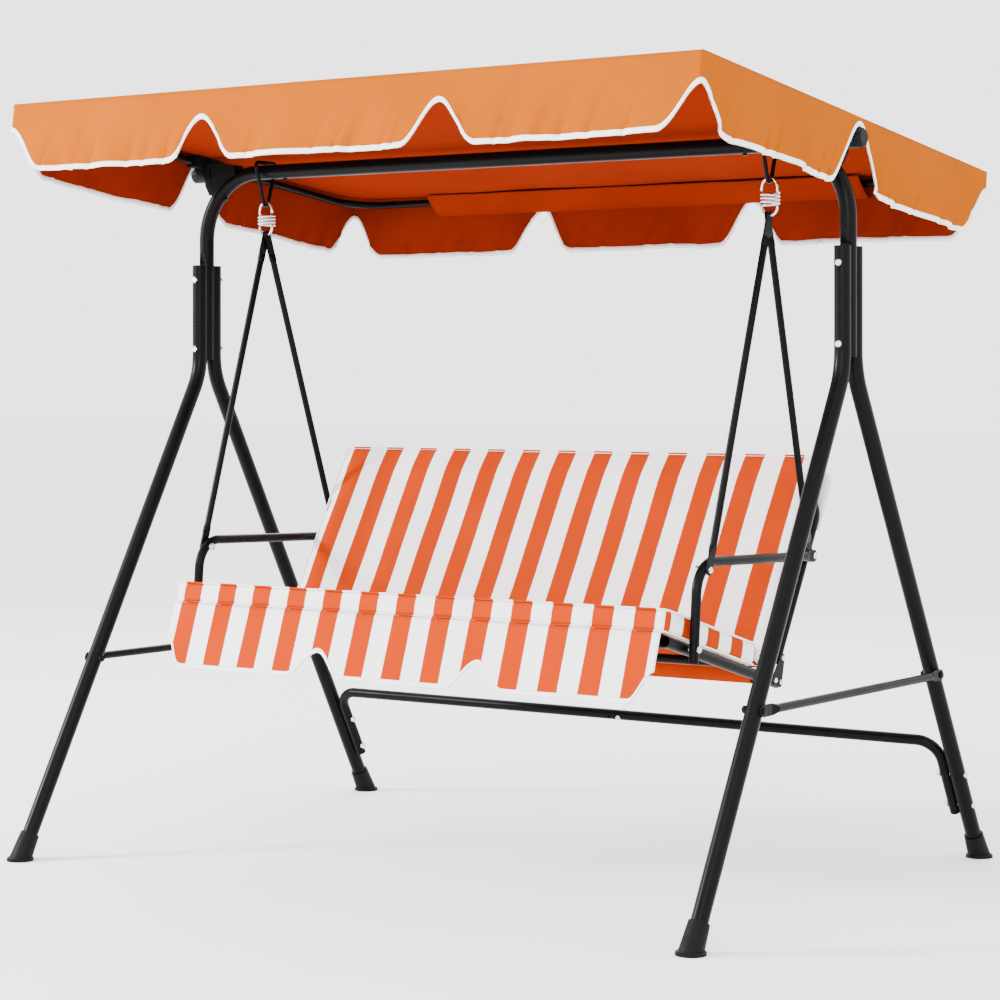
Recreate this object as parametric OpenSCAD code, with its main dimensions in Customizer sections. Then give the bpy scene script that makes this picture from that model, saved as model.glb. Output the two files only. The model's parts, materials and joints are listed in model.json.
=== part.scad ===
// Canopy swing bench: a tubular A-frame stand, a bench slung from two springs,
// and a fabric canopy that tilts on top. X runs along the bench, the front
// faces -Y, Z is up, and the origin is on the floor at the middle of the stand.

/* [Stand] */
// Distance from each side of the cushions to the middle of the legs
stand_gap = 201; // [197:1:300]
// Distance between the front and rear foot centres
foot_spread = 1152; // [960:1:1400]
// Height of the middle of the top beam
beam_height = 1429; // [1250:1:1800]
// Distance from the middle of the beam down to the tops of the legs
leg_drop = 199; // [195:1:260]
// Length of the upright part of a leg, to where its slanted part would meet it
leg_upright = 236; // [216:1:300]
// Outer diameter of a leg tube
leg_od = 32; // [28:0.5:38]
// Wall of the stand's tubes
stand_wall = 1.2; // [1:0.1:2]
// Radius of the bend in a leg
leg_bend = 150; // [100:1:200]
// Thickness of the arch end where the two legs press it
pressed_waist = 15; // [12:0.5:18]
// Outer diameter of the top beam and its bent ends
beam_od = 32; // [28:0.5:36]
// Radius of the bend from the upright arch end to the beam
arch_bend = 145; // [110:1:160]
// Distance from the middle of the legs in to the joint of arch end and beam
arch_len = 193; // [180:1:260]
// Height of the side braces
side_brace_height = 394; // [300:1:480]
// Outer diameter of the side braces
side_brace_od = 16; // [14:0.5:20]
// Height of the level run of the rear brace
rear_brace_height = 250; // [220:1:330]
// Outer diameter of the rear brace
rear_brace_od = 22; // [18:0.5:25]
// Radius of the bends in the rear brace
rear_brace_bend = 46; // [36:1:56]
// Diameter of a foot's flange
foot_flange = 55; // [48:1:70]
// Height of a foot cap
foot_height = 50; // [40:1:70]

/* [Suspension] */
// Distance from each side tube of the seat out to the spring above it
spring_out = 40; // [36:1:43]
// Diameter of the wire of a spring
wire_d = 5; // [4:0.5:6]
// Mean radius of a spring coil
coil_r = 17; // [15:0.5:19]
// Number of turns in a coil
coil_turns = 4; // [3:1:5]
// Distance from the middle of the beam down to the crown of a spring's top hook
hook_drop = 64.5; // [52:0.5:90]
// Height of a spring coil between wire middles
coil_height = 24; // [22:1:32]
// Diameter of the rod of the loops over the beam
loop_rod = 8; // [6:0.5:9]
// Outer diameter of a hanger tube
hanger_od = 14; // [12:0.5:16]
// Thickness of a flattened hanger end
hanger_flat = 3.2; // [2.5:0.1:4]

/* [Bench] */
// Width of the cushions
cushion_w = 1184; // [950:1:1500]
// Thickness of the seat cushion
seat_thick = 47; // [40:1:60]
// Thickness of the back cushion
back_thick = 62; // [50:1:66]
// Rearward tilt of the seat, in degrees
seat_tilt = 15.2; // [8:0.1:18]
// Lean of the back from the vertical, in degrees
back_lean = 30.4; // [24:0.1:32]
// Height of the top front edge of the seat cushion
seat_edge_height = 565; // [540:1:600]
// Depth of the seat cushion along its slope
seat_depth = 365; // [340:1:400]
// Height of the back cushion along its slope, above the seat
back_rise = 424; // [380:1:460]
// Outer diameter of the seat and back frame tubes
frame_od = 22; // [19:0.5:24]
// Outer diameter of the armrest tubes
arm_od = 19; // [16:0.5:20]
// Height of the armrests above the seat cushion's front edge
arm_rise = 77; // [60:1:100]
// Drop of the seat skirt at its deepest
skirt_drop = 136; // [110:1:160]

/* [Canopy] */
// Distance from the middle of the legs out to each end of the canopy
canopy_overhang = 23; // [22:1:30]
// Depth of the canopy along its slope
canopy_depth = 1146; // [1000:1:1300]
// Slope of the canopy at rest, rear edge low, in degrees
canopy_slope = 6.92; // [0:0.01:10]
// Height of the canopy's top surface above its tilt pivots, square to the surface
canopy_rise = 39.4; // [38:0.1:50]
// Drop of the canopy's valance
valance_drop = 140; // [110:1:170]
// Outer diameter of the canopy tubes
canopy_od = 16; // [13:0.5:18]
// Height of the tilt pivots above the middle of the beam
pivot_rise = 3; // [-4:1:8]
// Diameter of a tilt knob
knob_d = 38; // [32:1:40]

/* [Hidden] */
$fn = 48;

// Gaps and fits
face_gap = 0.3;         // between parts that lie against each other
hole_gap = 0.2;         // around a bolt, on the radius
slip_gap = 0.1;         // around a tube end that slides into another
eps = 1;                // how far a cut runs past a face
lap = 0.2;              // how far a straight run laps into a bend
bend_swell = 0.12;      // extra diameter of a bend over its straight runs
solid_end = 4;          // closed length of a tube next to its flattened end

// Stand places
leg_r = leg_od / 2;
leg_x = cushion_w / 2 + stand_gap;
leg_top = beam_height - leg_drop;
fork_height = leg_top - leg_upright;
pair_y = leg_r + pressed_waist / 2;
foot_y = foot_spread / 2;
leg_slope = (foot_y - pair_y) / fork_height;
leg_angle = atan(leg_slope);
leg_end_z = 10;
function leg_y(z) = pair_y + leg_slope * (fork_height - z);
leg_bolt_z = [leg_top - 32, leg_top - 184];
arch_hold = 209;
arch_end_z = leg_top - arch_hold;
beam_half = leg_x - arch_len;
brace_y = leg_y(side_brace_height);
rear_bolt_z = [rear_brace_height - 68, rear_brace_height - 134];
rear_brace_x = leg_x - leg_r - rear_brace_od / 2 - face_gap;
press_fade = 30;
plug_len = 60;
screw_x = beam_half - plug_len / 2;

// Bolts
bolt_d = 8;
bolt_head_d = 13;
bolt_head_h = 4;
nut_h = 6;
small_bolt_d = 6;

// Canopy places
canopy_pivot_y = 7.8;
canopy_len = 2 * (leg_x + canopy_overhang);
pivot_height = beam_height + pivot_rise;
fabric = 2;
tube_drop = 17;
run_y = canopy_depth / 2 - 25;
canopy_bend = 80;
knuckle_w = 26;
knuckle_x = leg_x - 7;
arm_x = knuckle_x + knuckle_w / 2 + 1;
knuckle_reach = 45;
socket_stop = 6.5;
front_notches = [-304, 264];
rear_notches = [-272, 272];
notch_drop = 58;
rear_notch_drop = 44;
side_notch_drop = 16;
notch_half = 80;
side_notch_half = 112;
outline_step = 10;
seam_y = canopy_depth / 2 - 68;
pocket_low_y = canopy_depth / 2 - 13;
pocket_half = arm_x - 244;

// Suspension places
loop_lean = 18;
loop_bend = 8;
weld_proud = 1;
loop_top_z = beam_height + (beam_od + loop_rod + weld_proud) / 2 + face_gap;
crown_z = beam_height - hook_drop;
loop_bottom_z = crown_z - loop_rod / 2 - wire_d / 2 - face_gap;
coil_top_z = crown_z - coil_r - 10;
coil_bottom_z = coil_top_z - coil_height;
hook_z = coil_bottom_z - coil_r - wire_d / 2 - 1.5;
hook_tip = 4;
flat_w = 20;
eye_reach = 62;
foot_reach = 48;
flat_taper = 20;
hanger_hole = 4.2;

// Bench places, in the slope frame of the seat: y back along the slope, z square to it
seat_front = [-324, seat_edge_height];
sling = 1.5;
tube_y0 = 22;
tube_z = -seat_thick - sling - 2 * face_gap - frame_od / 2;
side_x = cushion_w / 2 - 8;
side_len = seat_depth + 90;
mid_tube_y = seat_depth - 129;
rear_tube_y = seat_depth + 39;
cross_step = 3;         // how much thinner the middle cross tubes are than the frame tubes
mid_tube_od = frame_od - cross_step;
plate_thick = 2.5;
// World place, as [y, z], of a point in the seat's slope frame
function seat_point(y, z) = [
  seat_front[0] + y * cos(seat_tilt) + z * sin(seat_tilt),
  seat_front[1] - y * sin(seat_tilt) + z * cos(seat_tilt)
];
// The back's slope frame starts where the cushions meet: u up the back, w out behind it
crease = seat_point(seat_depth + face_gap, 0);
function back_point(u, w) = [
  crease[0] + u * sin(back_lean) + w * cos(back_lean),
  crease[1] + u * cos(back_lean) - w * sin(back_lean)
];
back_w = back_thick + sling + 2 * face_gap + frame_od / 2 + 2;
back_tube_low = back_point(-2, back_w);
back_tube_top_u = back_rise - 46;
back_low_u = 34;
back_corner = 70;
back_tail = 30;
arm_gap = 0.5;          // from the side tube to the armrest, and from the armrest to a hanger
arm_x_mid = side_x + frame_od / 2 + arm_gap + arm_od / 2;
arm_bend = 60;
arm_front_y = seat_front[0] + 88;
arm_height = seat_edge_height + arm_rise;
front_bolt = [arm_front_y + 21.5, arm_height - 15.5];
rear_bolt_z_bench = arm_height - 12;
back_axis_u = (rear_bolt_z_bench - back_tube_low[1]) / cos(back_lean);
rear_bolt = [back_tube_low[0] + back_axis_u * sin(back_lean), rear_bolt_z_bench];
arm_foot = seat_point(94, tube_z);
spring_x = side_x + spring_out;
front_hanger_x = [arm_x_mid + (arm_od + hanger_flat) / 2 + arm_gap, spring_x];
rear_hanger_x = [side_x + (frame_od + hanger_flat) / 2 + arm_gap, spring_x - hanger_flat - 2 * face_gap];
skirt_notches = [-190, 196];
skirt_notch_drop = 84;
skirt_notch_half = 68;
plate_holes_seat = [seat_depth + 59, seat_depth + 80];
plate_hole_back = 9;

// ---------------------------------------------------------------- shapes

function unit(v) = v / norm(v);
function heading(v) = atan2(v[1], v[0]);
// Left or right turn at point i of a flat path, in degrees from -180 to 180
function turn(p, i) =
  let (a = unit(p[i] - p[i - 1]), b = unit(p[i + 1] - p[i]))
  atan2(a[0] * b[1] - a[1] * b[0], a[0] * b[0] + a[1] * b[1]);
// Length that the bend at point i takes off each straight run
function setback(p, i, bend) =
  i == 0 || i == len(p) - 1 ? 0 : bend * tan(abs(turn(p, i)) / 2);

// The part of a bent bar from point i on, drawn forward along +X; children go on its far end.
// A bend is a hair thicker than the straight runs, whose ends lap into it.
module bar_run(p, i, bend, d) {
  straight = norm(p[i + 1] - p[i]) - setback(p, i, bend) - setback(p, i + 1, bend);
  last = i == len(p) - 2;
  angle = last ? 0 : turn(p, i + 1);
  side = sign(angle);
  back = i == 0 ? 0 : lap;
  translate([-back, 0, 0])
    rotate([0, 90, 0])
      cylinder(h = straight + back + (last ? 0 : lap), d = d);
  translate([straight, 0, 0])
    if (last) {
      children();
    } else {
      translate([0, side * bend, 0]) {
        mirror([0, side < 0 ? 1 : 0, 0])
          rotate([0, 0, -90])
            rotate_extrude(angle = abs(angle))
              translate([bend, 0])
                circle(d = d + bend_swell);
        rotate([0, 0, angle])
          translate([0, -side * bend, 0])
            bar_run(p, i + 1, bend, d)
              children();
      }
    }
}

// A round bar along a flat path in the XY plane, bent at each inner point
module bar_path(p, bend, d) {
  translate(p[0])
    rotate([0, 0, heading(p[1] - p[0])])
      bar_run(p, 0, bend, d)
        children();
}

// The same path a little longer at both ends, for a bore that opens them
function longer(p) = [
  for (i = [0:len(p) - 1])
    i == 0 ? p[0] + eps * unit(p[0] - p[1])
    : i == len(p) - 1 ? p[i] + eps * unit(p[i] - p[i - 1])
    : p[i]
];

module tube_path(p, bend, od, wall) {
  difference() {
    bar_path(p, bend, od);
    bar_path(longer(p), bend, od - 2 * wall);
  }
}

// Turn a flat drawing so that its x runs along Y and its y runs up Z
module upright_side() {
  rotate([90, 0, 90])
    children();
}

// Turn a flat drawing so that its x runs along X and its y runs up Z
module upright_front() {
  rotate([90, 0, 0])
    children();
}

module left_and_right() {
  children();
  mirror([1, 0, 0])
    children();
}

module cross_hole(d, reach) {
  cylinder(h = 2 * reach, d = d, center = true);
}

// A bolt along -Z from the underside of its domed head, with its nut at the far end
module bolt(grip, d, head_d = bolt_head_d) {
  dome = bolt_head_h * 0.4;
  translate([0, 0, -grip - nut_h - 2])
    cylinder(h = grip + nut_h + 2 + dome, d = d);
  cylinder(h = bolt_head_h - dome, d = head_d);
  translate([0, 0, bolt_head_h - dome])
    cylinder(h = dome, d1 = head_d, d2 = head_d - 4);
  translate([0, 0, -grip - nut_h])
    cylinder(h = nut_h, d = d * 1.9, $fn = 6);
}

// A tube end pressed flat: it starts round at z = 0, thins along X and ends in a drilled pad
module flat_end(od, pad_w, thick, taper, reach, hole) {
  difference() {
    union() {
      intersection() {
        cylinder(h = taper, d1 = od, d2 = pad_w);
        rotate([90, 0, 0])
          linear_extrude(pad_w * 2, center = true)
            polygon([[-od / 2, 0], [od / 2, 0], [thick / 2, taper], [-thick / 2, taper]]);
      }
      cylinder(h = 6, d = thick, center = true);
      translate([0, 0, taper + (reach - taper) / 2])
        cube([thick, pad_w, reach - taper], center = true);
      translate([0, 0, reach])
        rotate([0, 90, 0])
          cylinder(h = thick, d = pad_w, center = true);
    }
    translate([0, 0, reach])
      rotate([0, 90, 0])
        cross_hole(2 * hole, pad_w);
  }
}

// ---------------------------------------------------------------- stand

module leg_shape() {
  run = [[pair_y, leg_top], [pair_y, fork_height], [leg_y(leg_end_z), leg_end_z]];
  difference() {
    translate([leg_x, 0, 0])
      upright_side()
        tube_path(run, leg_bend, leg_od, stand_wall);
    for (z = leg_bolt_z)
      translate([leg_x, pair_y, z])
        rotate([90, 0, 0])
          cross_hole(bolt_d + 2 * hole_gap, leg_od);
    translate([leg_x, brace_y, side_brace_height])
      rotate([0, 90, 0])
        cross_hole(bolt_d + 2 * hole_gap, leg_od);
  }
}

module rear_leg_shape() {
  difference() {
    leg_shape();
    for (z = rear_bolt_z)
      translate([leg_x, leg_y(z), z])
        rotate([0, 90, 0])
          cross_hole(bolt_d + 2 * hole_gap, leg_od);
  }
}

module front_leg_left() {
  color([0.11, 0.11, 0.12])
    mirror([1, 0, 0])
      mirror([0, 1, 0])
        leg_shape();
}

module front_leg_right() {
  color([0.11, 0.11, 0.12])
    mirror([0, 1, 0])
      leg_shape();
}

module rear_leg_left() {
  color([0.11, 0.11, 0.12])
    mirror([1, 0, 0])
      rear_leg_shape();
}

module rear_leg_right() {
  color([0.11, 0.11, 0.12])
    rear_leg_shape();
}

// A moulded cap on a leg end: a slanted sleeve that widens to a round flange
module foot_shape() {
  collar = leg_od + 7;
  flange_h = 7;
  sleeve_len = foot_height / cos(leg_angle);
  difference() {
    union() {
      hull() {
        translate([leg_x, leg_y(foot_height), foot_height])
          rotate([leg_angle, 0, 0])
            translate([0, 0, -4])
              cylinder(h = 4, d = collar, $fn = 32);
        translate([leg_x, foot_y, 0])
          cylinder(h = flange_h, d = collar + 6, $fn = 32);
      }
      translate([leg_x, foot_y, 0])
        cylinder(h = flange_h - 2, d = foot_flange);
      translate([leg_x, foot_y, flange_h - 2])
        cylinder(h = 2, d1 = foot_flange, d2 = foot_flange - 4);
    }
    translate([leg_x, leg_y(leg_end_z), leg_end_z])
      rotate([leg_angle, 0, 0])
        translate([0, 0, -face_gap])
          cylinder(h = sleeve_len + leg_od, d = leg_od + 2 * slip_gap);
  }
}

module foot_cap_front_left() {
  color([0.03, 0.03, 0.03])
    mirror([1, 0, 0])
      mirror([0, 1, 0])
        foot_shape();
}

module foot_cap_front_right() {
  color([0.03, 0.03, 0.03])
    mirror([0, 1, 0])
      foot_shape();
}

module foot_cap_rear_left() {
  color([0.03, 0.03, 0.03])
    mirror([1, 0, 0])
      foot_shape();
}

module foot_cap_rear_right() {
  color([0.03, 0.03, 0.03])
    foot_shape();
}

// The two legs press the arch end from front and rear; grow makes the cut for its bore
module leg_press(grow) {
  for (side = [-1, 1])
    translate([leg_x, side * pair_y, 0]) {
      translate([0, 0, arch_end_z - eps])
        cylinder(h = leg_top + 5 - arch_end_z + eps, r = leg_r + slip_gap + grow);
      translate([0, 0, leg_top + 5])
        cylinder(h = press_fade, r1 = leg_r + slip_gap + grow, r2 = pressed_waist / 2 - 1 + grow);
    }
}

// A bent end of the top beam: upright between the legs, then level into the middle tube
module arch_shape() {
  run = [[leg_x, arch_end_z], [leg_x, beam_height], [beam_half + face_gap, beam_height]];
  plug_d = beam_od - 2 * stand_wall - 2 * slip_gap;
  bore = beam_od - 2 * stand_wall;
  difference() {
    union() {
      difference() {
        upright_front()
          bar_path(run, arch_bend, beam_od);
        leg_press(0);
        difference() {
          upright_front()
            bar_path(longer(run), arch_bend, bore);
          leg_press(stand_wall);
        }
      }
      translate([beam_half - plug_len, 0, beam_height])
        rotate([0, 90, 0])
          difference() {
            cylinder(h = plug_len + 6, d = plug_d);
            translate([0, 0, -eps])
              cylinder(h = plug_len + 6 + 2 * eps, d = plug_d - 2 * stand_wall);
          }
      translate([beam_half + face_gap, 0, beam_height])
        rotate([0, 90, 0])
          difference() {
            cylinder(h = 5, d = bore + 1);
            translate([0, 0, -eps])
              cylinder(h = 5 + 2 * eps, d = plug_d - 2 * stand_wall);
          }
    }
    for (z = leg_bolt_z)
      translate([leg_x, 0, z])
        rotate([90, 0, 0])
          cross_hole(bolt_d + 2 * hole_gap, leg_od);
    translate([screw_x, 0, beam_height - beam_od / 2])
      cross_hole(5 + 2 * hole_gap, 8);
    seat_screw_axis()
      cross_hole(small_bolt_d + 2 * hole_gap, beam_od);
  }
}

module arch_left() {
  color([0.11, 0.11, 0.12])
    mirror([1, 0, 0])
      arch_shape();
}

module arch_right() {
  color([0.11, 0.11, 0.12])
    arch_shape();
}

module beam() {
  color([0.11, 0.11, 0.12])
    difference() {
      translate([0, 0, beam_height])
        rotate([0, 90, 0])
          difference() {
            cylinder(h = 2 * beam_half, d = beam_od, center = true);
            cylinder(h = 2 * beam_half + 2 * eps, d = beam_od - 2 * stand_wall, center = true);
          }
      left_and_right()
        translate([screw_x, 0, beam_height - beam_od / 2])
          cross_hole(5 + 2 * hole_gap, 8);
    }
}

// A tube along Y with pads bolted flat against the outer side of the two legs
module side_brace_shape() {
  thick = 3;
  reach = 48;
  pad_x = leg_x + leg_r + thick / 2 + face_gap;
  straight = 2 * (brace_y - reach);
  translate([pad_x, -straight / 2, side_brace_height])
    rotate([-90, 0, 0]) {
      difference() {
        cylinder(h = straight, d = side_brace_od);
        translate([0, 0, solid_end])
          cylinder(h = straight - 2 * solid_end, d = side_brace_od - 2 * stand_wall);
      }
      translate([0, 0, straight])
        flat_end(side_brace_od, 22, thick, 18, reach, bolt_d / 2 + hole_gap);
      rotate([180, 0, 0])
        flat_end(side_brace_od, 22, thick, 18, reach, bolt_d / 2 + hole_gap);
    }
}

module side_brace_left() {
  color([0.09, 0.09, 0.1])
    mirror([1, 0, 0])
      side_brace_shape();
}

module side_brace_right() {
  color([0.09, 0.09, 0.1])
    side_brace_shape();
}

// The slope frame of the rear legs: x along X, y up along the legs from the floor
module on_rear_legs() {
  translate([0, foot_y, 0])
    rotate([90 + leg_angle, 0, 0])
      children();
}

function up_leg(z) = z / cos(leg_angle);

// Half of the rear brace: level behind the bench, then down the inner side of a leg
module rear_brace_shape(inner_end) {
  run = [[inner_end, up_leg(rear_brace_height)],
         [rear_brace_x, up_leg(rear_brace_height)],
         [rear_brace_x, up_leg(rear_bolt_z[1] - 18)]];
  difference() {
    on_rear_legs()
      tube_path(run, rear_brace_bend, rear_brace_od, stand_wall);
    for (z = rear_bolt_z)
      translate([rear_brace_x, leg_y(z), z])
        rotate([0, 90, 0])
          cross_hole(bolt_d + 2 * hole_gap, rear_brace_od);
    brace_joint()
      cross_hole(small_bolt_d + 2 * hole_gap, rear_brace_od);
  }
}

// The bolt that joins the halves of the rear brace
module brace_joint() {
  translate([12, leg_y(rear_brace_height), rear_brace_height])
    rotate([90 + leg_angle, 0, 0])
      children();
}

module rear_brace_left() {
  plug_d = rear_brace_od - 2 * stand_wall - 2 * slip_gap;
  color([0.09, 0.09, 0.1]) {
    mirror([1, 0, 0])
      rear_brace_shape(face_gap);
    difference() {
      translate([-6, leg_y(rear_brace_height), rear_brace_height])
        rotate([0, 90, 0])
          difference() {
            cylinder(h = 36, d = plug_d);
            translate([0, 0, -eps])
              cylinder(h = 36 + 2 * eps, d = plug_d - 2 * stand_wall);
          }
      brace_joint()
        cross_hole(small_bolt_d + 2 * hole_gap, rear_brace_od);
    }
    translate([-5 - face_gap, leg_y(rear_brace_height), rear_brace_height])
      rotate([0, 90, 0])
        difference() {
          cylinder(h = 5, d = rear_brace_od - 2 * stand_wall + 1);
          translate([0, 0, -eps])
            cylinder(h = 5 + 2 * eps, d = plug_d - 2 * stand_wall);
        }
  }
}

module rear_brace_right() {
  color([0.09, 0.09, 0.1])
    rear_brace_shape(0);
}

module leg_bolts() {
  grip = 2 * (pair_y + leg_r);
  color([0.85, 0.85, 0.86])
    left_and_right()
      for (z = leg_bolt_z)
        translate([leg_x, -pair_y - leg_r - face_gap, z])
          rotate([90, 0, 0])
            bolt(grip + 2 * face_gap, bolt_d);
}

module side_brace_bolts() {
  out = leg_r + 3 + 2 * face_gap;
  color([0.12, 0.12, 0.12])
    left_and_right()
      for (y = [-brace_y, brace_y])
        translate([leg_x + out, y, side_brace_height])
          rotate([0, 90, 0])
            bolt(out + leg_r + face_gap, bolt_d);
}

module rear_brace_bolts() {
  grip = leg_od + rear_brace_od + 3 * face_gap;
  color([0.85, 0.85, 0.86]) {
    left_and_right()
      for (z = rear_bolt_z)
        translate([leg_x + leg_r + face_gap, leg_y(z), z])
          rotate([0, 90, 0])
            bolt(grip, bolt_d);
    brace_joint()
      translate([0, 0, rear_brace_od / 2 + face_gap])
        bolt(rear_brace_od + 2 * face_gap, small_bolt_d, 11);
  }
}

// Axis of the screw that holds a canopy seat to the arch, square to the middle of the bend
module seat_screw_axis() {
  translate([leg_x - arch_bend, 0, beam_height - arch_bend])
    rotate([0, 45, 0])
      translate([0, 0, arch_bend])
        children();
}

module frame_screws() {
  color([0.12, 0.12, 0.12])
    left_and_right() {
      translate([screw_x, 0, beam_height - beam_od / 2 - face_gap])
        rotate([180, 0, 0])
          union() {
            cylinder(h = 3, d = 9);
            translate([0, 0, -6])
              cylinder(h = 6 + eps, d = 5);
          }
      seat_screw_axis()
        translate([0, 0, -beam_od / 2 - face_gap])
          rotate([180, 0, 0])
            union() {
              cylinder(h = 4, d = 12);
              translate([0, 0, -beam_od - 14])
                cylinder(h = beam_od + 14 + eps, d = small_bolt_d);
            }
    }
}

// A link of bent rod, welded shut over the beam: a level top and two sides that meet in a tight vee
module beam_loop_shape() {
  apex = loop_bottom_z - loop_bend * (1 / sin(loop_lean) - 1);
  half = (loop_top_z - apex) * tan(loop_lean);
  ring = [[0.5, loop_top_z], [half, loop_top_z], [0, apex], [-half, loop_top_z], [-0.5, loop_top_z]];
  translate([spring_x, 0, 0]) {
    upright_side()
      bar_path(ring, loop_bend, loop_rod);
    translate([0, 0, loop_top_z])
      rotate([90, 0, 0])
        cylinder(h = 5, d = loop_rod + weld_proud, center = true);
  }
}

module beam_loop_left() {
  color([0.06, 0.06, 0.06])
    mirror([1, 0, 0])
      beam_loop_shape();
}

module beam_loop_right() {
  color([0.06, 0.06, 0.06])
    beam_loop_shape();
}

// A moulded block in the outer corner of the arch bend, with a slot for the tilt bolt's head
module canopy_seat_shape() {
  out = knuckle_x - face_gap;
  half = 15;
  low = pivot_height - 26;
  high = pivot_height + 22;
  difference() {
    upright_front()
      linear_extrude(2 * half, center = true)
        polygon([[out, low], [out, high], [out - 24, high], [out - 84, high - 6],
                 [out - 84, low], [out - 40, low - 22], [out - 12, low - 22]]);
    upright_front()
      bar_path([[leg_x, arch_end_z], [leg_x, beam_height], [0, beam_height]],
               arch_bend, beam_od + 2 * slip_gap);
    translate([leg_x - arch_bend, half + eps, beam_height - arch_bend])
      rotate([90, 0, 0])
        cylinder(h = 2 * half + 2 * eps, r = arch_bend - 2);
    translate([out - 17, 0, pivot_height])
      cube([6.4, 2 * half + 2 * eps, 18.4], center = true);
    translate([out - 8, 0, pivot_height])
      rotate([0, 90, 0])
        cross_hole(bolt_d + 2 * hole_gap, 14);
    seat_screw_axis()
      cross_hole(small_bolt_d + 2 * hole_gap, beam_od + 4);
  }
}

module canopy_seat_left() {
  color([0.05, 0.05, 0.05])
    mirror([1, 0, 0])
      canopy_seat_shape();
}

module canopy_seat_right() {
  color([0.05, 0.05, 0.05])
    canopy_seat_shape();
}

module tilt_bolts() {
  head_x = knuckle_x - 17 - face_gap;
  color([0.4, 0.4, 0.42])
    left_and_right() {
      translate([head_x, 0, pivot_height])
        cube([5.8, 18, 18], center = true);
      translate([head_x, 0, pivot_height])
        rotate([0, 90, 0])
          cylinder(h = 17 + knuckle_w + 11, d = bolt_d);
    }
}

// A hand knob with finger flutes and a blind threaded socket for the tilt bolt
module tilt_knob_shape() {
  flutes = 10;
  height = 14;
  translate([knuckle_x + knuckle_w + 2 * face_gap, 0, pivot_height])
    rotate([0, 90, 0])
      difference() {
        union() {
          cylinder(h = height - 4, d = knob_d);
          translate([0, 0, height - 4])
            cylinder(h = 4, d1 = knob_d, d2 = knob_d - 8);
        }
        for (i = [0:flutes - 1])
          rotate([0, 0, i * 360 / flutes])
            translate([knob_d / 2 + 1.6, 0, -eps])
              cylinder(h = height + 2 * eps, d = 6.4);
        translate([0, 0, -eps])
          cylinder(h = 12, d = bolt_d + 0.1);
      }
}

module tilt_knob_left() {
  color([0.04, 0.04, 0.04])
    mirror([1, 0, 0])
      tilt_knob_shape();
}

module tilt_knob_right() {
  color([0.04, 0.04, 0.04])
    tilt_knob_shape();
}

// ---------------------------------------------------------------- canopy

// The slope frame of the canopy: its top surface is z = 0 and its pivots lie canopy_rise below
module on_canopy() {
  translate([0, 0, pivot_height])
    rotate([-canopy_slope, 0, 0])
      translate([0, -canopy_pivot_y, canopy_rise])
        children();
}

// A round boss on the tilt bolt with a bar above it that both canopy tubes plug into
module tilt_knuckle_shape() {
  socket = canopy_od + 2 * slip_gap;
  on_canopy()
    difference() {
      translate([knuckle_x + knuckle_w / 2, 0, 0])
        upright_side()
          linear_extrude(knuckle_w, center = true)
            union() {
              translate([canopy_pivot_y, -canopy_rise])
                circle(d = 38);
              translate([canopy_pivot_y - knuckle_reach, -tube_drop - 13])
                square([2 * knuckle_reach, 25]);
              translate([canopy_pivot_y - 19, -canopy_rise])
                square([38, 16]);
            }
      for (side = [-1, 1])
        translate([arm_x, canopy_pivot_y + side * socket_stop, -tube_drop])
          rotate([-90 * side, 0, 0])
            cylinder(h = knuckle_reach, d = socket);
      translate([knuckle_x, canopy_pivot_y, -canopy_rise])
        rotate([0, 90, 0])
          cross_hole(bolt_d + 2 * hole_gap, 2 * knuckle_w);
    }
}

module tilt_knuckle_left() {
  color([0.05, 0.05, 0.05])
    mirror([1, 0, 0])
      tilt_knuckle_shape();
}

module tilt_knuckle_right() {
  color([0.05, 0.05, 0.05])
    tilt_knuckle_shape();
}

// A U of tube from one knuckle along an edge of the canopy to the other knuckle
module canopy_tube_shape(side) {
  start = canopy_pivot_y + side * (socket_stop + face_gap);
  run = [[-arm_x, start], [-arm_x, side * run_y], [arm_x, side * run_y], [arm_x, start]];
  on_canopy()
    translate([0, 0, -tube_drop])
      tube_path(run, canopy_bend, canopy_od, stand_wall);
}

module canopy_front_tube() {
  color([0.07, 0.07, 0.08])
    canopy_tube_shape(-1);
}

module canopy_rear_tube() {
  color([0.07, 0.07, 0.08])
    canopy_tube_shape(1);
}

// Drop of a scalloped hem at place s, given its notches as [place, drop, half width]
function hem(s, full, notches) = min([
  for (n = notches)
    n[1] + (full - n[1]) * pow(sin(90 * min(1, abs(s - n[0]) / n[2])), 2)
]);

// A flat hanging panel in the XY plane, top edge on y = 0, scalloped below
module scalloped(half, full, notches) {
  steps = ceil(2 * half / outline_step);
  bottom = [for (i = [0:steps]) let (s = half - 2 * half * i / steps) [s, -hem(s, full, notches)]];
  polygon(concat([[-half, 0], [half, 0]], bottom));
}

module canopy_fabric() {
  half = canopy_len / 2;
  deep = canopy_depth / 2;
  corner = function(at) [at, notch_drop, notch_half];
  front = [for (x = concat([-half], front_notches, [half])) corner(x)];
  rear = [for (x = concat([-half], rear_notches, [half])) [x, rear_notch_drop, notch_half]];
  side = [corner(-deep), [canopy_pivot_y, side_notch_drop, side_notch_half],
          [deep, rear_notch_drop, notch_half]];
  color([0.95, 0.45, 0.1])
    on_canopy()
      union() {
        translate([0, 0, -fabric / 2])
          cube([canopy_len, canopy_depth, fabric], center = true);
        translate([0, -deep + fabric, 0])
          rotate([90, 0, 0])
            linear_extrude(fabric)
              scalloped(half, valance_drop, front);
        translate([0, deep, 0])
          rotate([90, 0, 0])
            linear_extrude(fabric)
              scalloped(half, valance_drop, rear);
        for (x = [-half, half - fabric])
          translate([x, 0, 0])
            rotate([90, 0, 90])
              linear_extrude(fabric)
                scalloped(deep, valance_drop, side);
      }
}

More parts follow.
